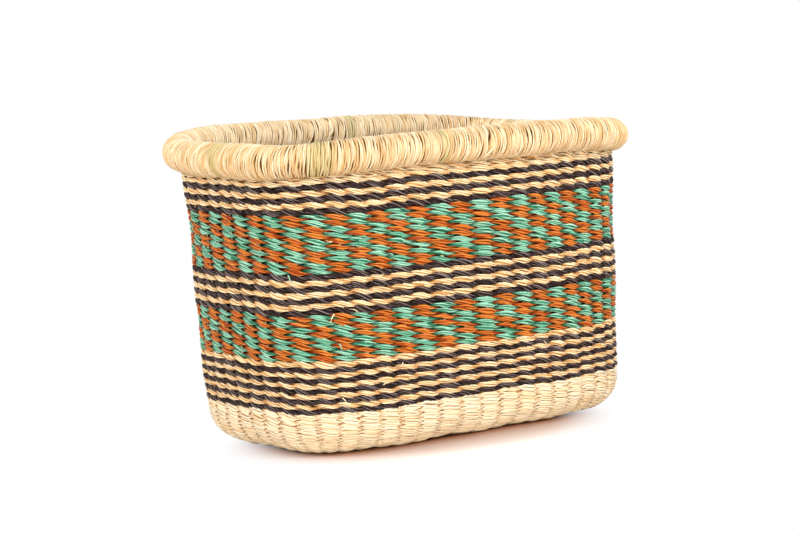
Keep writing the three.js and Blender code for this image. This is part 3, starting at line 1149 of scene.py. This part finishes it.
# How unevenly the rim is wrapped. Ends are in radians, places and widths in wraps, depth in
# metres. What wavers changes along a wrap, and the rest from wrap to wrap or blade to blade.
UNEVEN_END = 0.06
UNEVEN_BLADE_END = 0.05
UNEVEN_TURNS = 4
WAVER_TURN = 0.6
UNEVEN_PLACE = 0.07
WAVER_PLACE = 0.1
UNEVEN_SLANT = 0.1
UNEVEN_WIDTH = 0.2
UNEVEN_DEPTH = 0.0001
UNEVEN_WRAP_TONE = 0.2
UNEVEN_WRAP_BLADE_TONE = 0.35
# Painted shade of a blade of the wrapping: how much its edges lose, how unevenly, and what it
# loses where it winds under its wrap
WRAP_EDGE = 0.54
UNEVEN_EDGE = 0.2
UNDER_WRAP = 0.06
# The wrapping's inner face, given painted light, lighter in tone and shade than the outer face:
# where it begins along a wrap, and what it gains in tone and in shade
INNER_FACE = (0.45, 0.65)
INNER_PAINTED_LIGHT_TONE = 0.1
INNER_PAINTED_LIGHT_SHADE = 0.12
SLANT_CHANGES = 9  # changes of the slant round the rim
LIP_ROUNDNESS = 0.35
LIP_WIDTH = 0.7  # width of a blade at the lips, where its middle has 1


class BASKET_OT_rim_wrapping(bpy.types.Operator):
    """Wrap the bundle with bunches of grass, turn beside turn, from lip to lip"""

    bl_idname = "basket.rim_wrapping"
    bl_label = "Rim wrapping"

    steps: count_property("Steps", 22, "Steps along a blade")
    parts: count_property("Parts", 2, "Pieces that it is made in")
    from_angle: angle_property(
        "Outer lip", math.radians(-97), "Where the wrapping meets the outside of the wall"
    )
    to_angle: angle_property(
        "Inner lip", math.radians(232), "Where the wrapping meets the inside of the wall"
    )

    def execute(self, context):
        rim = settings("basket_rim")
        wraps = rim.wraps // self.parts
        for part in range(self.parts):
            name = f"rim_wrapping_{part + 1}"
            mesh = fence_template(wraps * rim.blades, self.steps, sides=4)
            points, lay, tone, green = self.wrap(name, mesh, wraps, part * wraps)
            paint_by_vertex(mesh, green.astype(int))
            grasses = ["rim_wraps", "green_rim_wraps"]
            add_piece(name, mesh, points, lay, tone, grasses, "rim_grass", "rim_wrapping")
        return {"FINISHED"}

    def wrap(self, name, mesh, wraps, first):
        """Places, lay and tone of some of the wraps, and which of their blades are greenish."""
        rim = settings("basket_rim")
        count = wraps * rim.blades
        bar, across, through, along = fence_coordinates(mesh, count)
        wrap, blade = bar // rim.blades, bar % rim.blades
        number = first + wrap
        random = seeded(name)

        def by_wrap(spread):
            return spread * random.uniform(-1, 1, wraps)[wrap]

        def by_blade(spread):
            return spread * random.uniform(-1, 1, count)[bar]

        def along_wrap(spread, knots=6):
            table = random.uniform(-1, 1, (wraps, knots + 2))
            return spread * eased(table, wrap, along * knots)

        def along_blade(spread, knots=7):
            table = random.uniform(-1, 1, (count, knots + 2))
            return spread * eased(table, bar, along * knots)

        angle = self.from_angle + (self.to_angle - self.from_angle) * along
        angle += (1 - along) * (by_wrap(UNEVEN_END) + by_blade(UNEVEN_BLADE_END))
        angle += along * by_wrap(UNEVEN_END)
        lip = np.sin(math.pi * np.clip(along, 0, 1)) ** LIP_ROUNDNESS
        winding = by_wrap(math.pi) + FULL_TURN * blade / rim.blades
        winding += along * (rim.windings * FULL_TURN + by_wrap(UNEVEN_TURNS))
        winding += along_blade(WAVER_TURN)
        centre = number + by_wrap(UNEVEN_PLACE) + along_wrap(WAVER_PLACE)
        changes = seeded("slant").uniform(-1, 1, (1, SLANT_CHANGES))
        change = eased(changes, 0 * wrap, number / rim.wraps * SLANT_CHANGES)
        slant = rim.slant + rim.slant_change * change + by_wrap(UNEVEN_SLANT)
        centre += slant * (angle - QUARTER_TURN) / math.pi
        for place in PARTED_PLACES:
            beside = number - place * rim.wraps
            aside = rim.parting * np.sign(beside) * np.exp(-np.abs(beside) / 2)
            centre += aside * risen(along, *PARTED_FACE)
        width = rim.blade_width * (1 + by_blade(UNEVEN_WIDTH))
        width *= LIP_WIDTH + (1 - LIP_WIDTH) * lip
        share = (centre + rim.blade_spread * np.sin(winding) + across * width) / rim.wraps
        swell = 1 + rim.swell * soft_field("rim", share, 0 * share)
        radius = rim.wrap_radius * swell - (1 - lip) * rim.lip_dip
        radius += rim.bunch_depth * np.cos(winding) + through * rim.blade_thickness
        radius += along_wrap(UNEVEN_DEPTH) + by_wrap(UNEVEN_DEPTH)
        points = rim_point(wall_parameter(share), radius, angle)
        blade_lay = (first + bar) * LAY_STEP
        lay = np.stack([angle * rim.wrap_radius, across / 3, blade_lay], axis=-1)
        # Painted light: the inner face is lighter in tone and shade
        inner = risen(along, *INNER_FACE)
        tone = 0.5 + by_wrap(UNEVEN_WRAP_TONE) + by_blade(UNEVEN_WRAP_BLADE_TONE)
        tone += INNER_PAINTED_LIGHT_TONE * inner
        shade = 1 - (WRAP_EDGE + by_wrap(UNEVEN_EDGE)) * np.abs(across)
        shade += INNER_PAINTED_LIGHT_SHADE * inner - UNDER_WRAP * (1 - np.cos(winding))
        add_attribute(mesh, "shade", shade)
        here = number / rim.wraps
        patches = [
            risen(-abs(here - middle), -GREEN_REACH[1] * half, -GREEN_REACH[0] * half)
            for middle, half in GREEN_PLACES
        ]
        green = sum(patches) > random.uniform(0.1, 1, count)[bar]
        return points, lay, tone, green


# Cut ends that stand out at the front: share of the way round the wall and height
STRAW_ENDS = (
    (0.61, 0.1105),
    (0.629, 0.1105),
    (0.666, 0.068),
    (0.612, 0.046),
    (0.645, 0.0385),
    (0.647, 0.0315),
    (0.643, 0.006),
    (0.81, 0.065),
    (0.734, 0.047),
    (0.771, 0.035),
    (0.647, 0.0525),
    (0.612, 0.1655),
    (0.851, 0.205),
    (0.702, 0.213),
)
TEAL_ENDS = ((0.612, 0.0875), (0.52, 0.1835), (0.575, 0.141), (0.662, 0.151))
# Least and most of the same for the ends on the other sides
OTHER_SHARES = (0.92, 1.45)
OTHER_HEIGHTS = (0.03, 0.215)


class BASKET_OT_cut_ends(bpy.types.Operator):
    """Leave the short cut ends of blades that stand out where one blade takes over from another"""

    bl_idname = "basket.cut_ends"
    bl_label = "Cut ends"

    others: count_property("Others", 26, "Ends on the other sides")
    steps: count_property("Steps", 6, "Steps along an end")
    length: length_property("Length", 0.007, "Length of a cut end")
    width: length_property("Width", 0.0007, "Half width of a cut end")
    taper: share_property("Taper", 0.85, "How much narrower an end is at its tip")
    lift: length_property("Lift", 0.0022, "How far an end bends out from the wall")
    arch: angle_property("Arch", 2.2, "How far an end arches over, where half a turn comes back")
    root: length_property("Root", 0.0005, "How deep an end begins under the wall's face")

    def execute(self, context):
        random = seeded("cut_ends")
        shares = random.uniform(*OTHER_SHARES, self.others)
        heights = random.uniform(*OTHER_HEIGHTS, self.others)
        others = np.stack([shares, heights], axis=1)
        places = np.concatenate([STRAW_ENDS, others, TEAL_ENDS])
        count = len(places)
        mesh = fence_template(count, self.steps, sides=3)
        bar, across, through, along = fence_coordinates(mesh, count)
        share, height = places[bar].T

        def each(least, most):
            """A number of its own for each end."""
            return random.uniform(least, most, count)[bar]

        heading = each(-0.9, 0.9) + math.pi * random.integers(0, 2, count)[bar]
        reach = self.length * each(0.5, 1.3) * along
        width = self.width * (1 - self.taper * along) * each(0.8, 1.3)
        bent = heading + each(-0.8, 0.8) * along
        sideways = reach * np.cos(bent) - across * width * np.sin(heading)
        upwards = reach * np.sin(bent) + across * width * np.cos(heading)
        lift = self.lift * each(0.5, 1.4) * np.sin(self.arch * along)
        depth = lift + through * width - self.root
        points = skin_point(wall_parameter(share), climb_of(height) + upwards, depth)
        points += ahead_of(wall_parameter(share), height) * sideways[:, None]
        lay = np.stack([reach, across / 4, bar * LAY_STEP], axis=-1)
        tone = each(0.6, 1)
        dyed = bar >= count - len(TEAL_ENDS)
        paint_by_vertex(mesh, dyed.astype(int))
        grasses = ["natural_strands", "teal_strands"]
        add_piece("cut_ends", mesh, points, lay, tone, grasses, "natural_straw", "inner_wall")
        return {"FINISHED"}


# Lamps: degrees to the side of the camera's direction and above the floor, then distance from
# the basket and side of the lamp in metres
LAMPS = {
    "top_lamp": (12, 38, 1.7, 0.5),
    "left_lamp": (-78, 30, 1.5, 0.5),
    "right_lamp": (62, 34, 1.5, 0.5),
    "fill_lamp": (-4, 18, 2.2, 0.8),
}
# How finely the floor's painted shadow is worked out, and how quickly it fades
SHADOW_SAMPLES = 8
SHADOW_POWER = 2.2
# The ellipse round the basket outside which the floor is plain white to the camera, in half
# sizes of the foot: how much nearer it comes at the ends, its shift, and where the white begins
CLEAR_STRETCH = 1.3
CLEAR_SHIFT = (0.22, 0.45)
CLEAR_FROM = 0.85


class BASKET_OT_stage(bpy.types.Operator):
    """Set the floor, the lamps and the camera"""

    bl_idname = "basket.stage"
    bl_label = "Stage"

    floor_size: length_property("Floor size", 8.0, "Side of the floor")

    def execute(self, context):
        self.add_floor()
        self.add_sky()
        for name, place in LAMPS.items():
            add_lamp(name, *place)
        add_camera()
        context.scene.view_settings.view_transform = "Standard"
        return {"FINISHED"}

    def add_floor(self):
        shape = bmesh.new()
        half = self.floor_size / 2
        bmesh.ops.create_grid(shape, x_segments=1, y_segments=1, size=half)
        floor = bpy.data.objects.new("floor", mesh_from(shape, "floor"))
        bpy.context.scene.collection.objects.link(floor)
        floor.data.materials.append(floor_material())

    def add_sky(self):
        world = bpy.data.worlds.new("sky")
        world.use_nodes = True
        bpy.context.scene.world = world
        tree = NodeTree(world.node_tree)
        seen = seen_directly(tree)
        strength = settings("basket_studio").sky
        level = tree.math("MULTIPLY_ADD", seen, 1 - strength, strength)
        background = tree.node("ShaderNodeBackground", Color=(1, 1, 1, 1), Strength=level)
        tree.node("ShaderNodeOutputWorld", Surface=background.outputs[0])


def seen_directly(tree):
    """1 on rays from the camera, or by way of gloss or glass, and 0 on others."""
    path = tree.node("ShaderNodeLightPath")
    gloss = tree.math("MAXIMUM", path.outputs["Is Camera Ray"], path.outputs["Is Glossy Ray"])
    return tree.math("MAXIMUM", gloss, path.outputs["Is Transmission Ray"])


def floor_material():
    """A pale floor that keeps the basket's cast shadow, has a painted shadow in its deep colour
    close to the basket, and farther off is plain white when seen.
    """
    studio = settings("basket_studio")
    material = bpy.data.materials.new("pale_floor")
    material.use_nodes = True
    tree = NodeTree(material.node_tree)
    seen = seen_directly(tree)
    samples = {"samples": SHADOW_SAMPLES}
    # Painted shadow: the floor takes on its deep colour, and loses its glow, where the basket is
    # near
    near = tree.node("ShaderNodeAmbientOcclusion", samples, Distance=studio.shadow_reach)
    darkened = tree.math("SUBTRACT", 1.0, tree.math("POWER", near.outputs["AO"], SHADOW_POWER))
    openness = tree.math("SUBTRACT", 1.0, tree.math("MULTIPLY", darkened, seen))
    unshaded = tree.math("MULTIPLY", seen, openness)
    shader = tree.node(
        "ShaderNodeBsdfPrincipled",
        Base_Color=tree.mix(openness, linear(studio.painted_floor_shadow), linear(studio.floor)),
        Roughness=0.9,
        Specular_IOR_Level=0.0,
        Emission_Color=(1, 1, 1, 1),
        Emission_Strength=tree.math("MULTIPLY", unshaded, studio.floor_glow),
    )
    white = tree.node("ShaderNodeEmission", Color=(1, 1, 1, 1), Strength=1.0)
    half_length, half_width, middle_x, middle_y = outline_sizes(0)
    scale = Vector((CLEAR_STRETCH / half_length, 1 / half_width, 0))
    centred = tree.node(
        "ShaderNodeMapping",
        Vector=tree.node("ShaderNodeTexCoord").outputs["Object"],
        Location=(CLEAR_SHIFT[0] - middle_x * scale.x, CLEAR_SHIFT[1] - middle_y * scale.y, 0),
        Scale=scale,
    )
    length = {"operation": "LENGTH"}
    distance = tree.node("ShaderNodeVectorMath", length, input0=centred.outputs[0])
    clear = tree.risen(distance.outputs["Value"], CLEAR_FROM, studio.floor_clear, "SMOOTHSTEP")
    mixed = tree.node(
        "ShaderNodeMixShader",
        Fac=tree.math("MULTIPLY", seen, clear),
        input1=shader.outputs[0],
        input2=white.outputs[0],
    )
    tree.node("ShaderNodeOutputMaterial", Surface=mixed.outputs[0])
    return material


def add_lamp(name, side, rise, distance, size):
    """A square lamp aimed at the basket."""
    studio = settings("basket_studio")
    heading = math.pi + studio.yaw - math.radians(side)
    level = Vector((math.sin(heading), math.cos(heading), 0)) * math.cos(math.radians(rise))
    away = level + Vector((0, 0, math.sin(math.radians(rise))))
    lamp = bpy.data.lights.new(name, "AREA")
    lamp.size = size
    lamp.energy = getattr(studio, name)
    holder = bpy.data.objects.new(name, lamp)
    holder.location = Vector(studio.target) + away * distance
    holder.rotation_euler = away.to_track_quat("Z", "Y").to_euler()
    bpy.context.scene.collection.objects.link(holder)


def add_camera():
    """The photograph's view: forward, right and up of the level camera, then its roll."""
    studio = settings("basket_studio")
    level = Vector((math.sin(studio.yaw), math.cos(studio.yaw), 0))
    forward = level * math.cos(studio.elevation) - Vector((0, 0, math.sin(studio.elevation)))
    right = Vector((level.y, -level.x, 0))
    up = right.cross(forward)
    cosine, sine = math.cos(studio.roll), math.sin(studio.roll)
    rolled_right = right * cosine - up * sine
    rolled_up = up * cosine + right * sine
    camera = bpy.data.cameras.new("camera")
    camera.lens = studio.lens
    holder = bpy.data.objects.new("camera", camera)
    axes = Matrix((rolled_right, rolled_up, -forward)).transposed().to_4x4()
    place = Vector(studio.target) - forward * studio.distance
    holder.matrix_world = Matrix.Translation(place) @ axes
    bpy.context.scene.collection.objects.link(holder)
    bpy.context.scene.camera = holder


class BASKET_PT_panel(bpy.types.Panel):
    """The steps of the basket, in order"""

    bl_label = "Bolga basket"
    bl_idname = "BASKET_PT_panel"
    bl_space_type = "VIEW_3D"
    bl_region_type = "UI"
    bl_category = "Basket"

    def draw(self, context):
        for step in STEPS:
            self.layout.operator(step.bl_idname)


STEPS = (
    BASKET_OT_base,
    BASKET_OT_foot,
    BASKET_OT_stripes,
    BASKET_OT_pattern,
    BASKET_OT_top_band,
    BASKET_OT_stakes,
    BASKET_OT_rim_bundle,
    BASKET_OT_rim_wrapping,
    BASKET_OT_cut_ends,
    BASKET_OT_stage,
)
GROUPS = {
    "basket_wall": BasketWall,
    "basket_strands": BasketStrands,
    "basket_rim": BasketRim,
    "basket_studio": BasketStudio,
}
for name, changes in TWININGS.items():
    GROUPS[f"basket_{name}"] = property_group(name, TWINING, changes)
for name, changes in GRASSES.items():
    GROUPS[f"basket_{name}"] = property_group(name, GRASS, changes)


def register():
    for group in GROUPS.values():
        bpy.utils.register_class(group)
    for step in STEPS:
        bpy.utils.register_class(step)
    bpy.utils.register_class(BASKET_PT_panel)
    for name, group in GROUPS.items():
        setattr(bpy.types.Scene, name, PointerProperty(type=group))


def unregister():
    for name in GROUPS:
        delattr(bpy.types.Scene, name)
    for member in (BASKET_PT_panel, *reversed(STEPS), *reversed(GROUPS.values())):
        bpy.utils.unregister_class(member)


def main():
    register()
    bpy.ops.basket.base()
    bpy.ops.basket.foot()
    bpy.ops.basket.stripes()
    bpy.ops.basket.pattern()
    bpy.ops.basket.top_band()
    bpy.ops.basket.stakes()
    bpy.ops.basket.rim_bundle()
    bpy.ops.basket.rim_wrapping()
    bpy.ops.basket.cut_ends()
    bpy.ops.basket.stage()


if __name__ == "__main__":
    main()
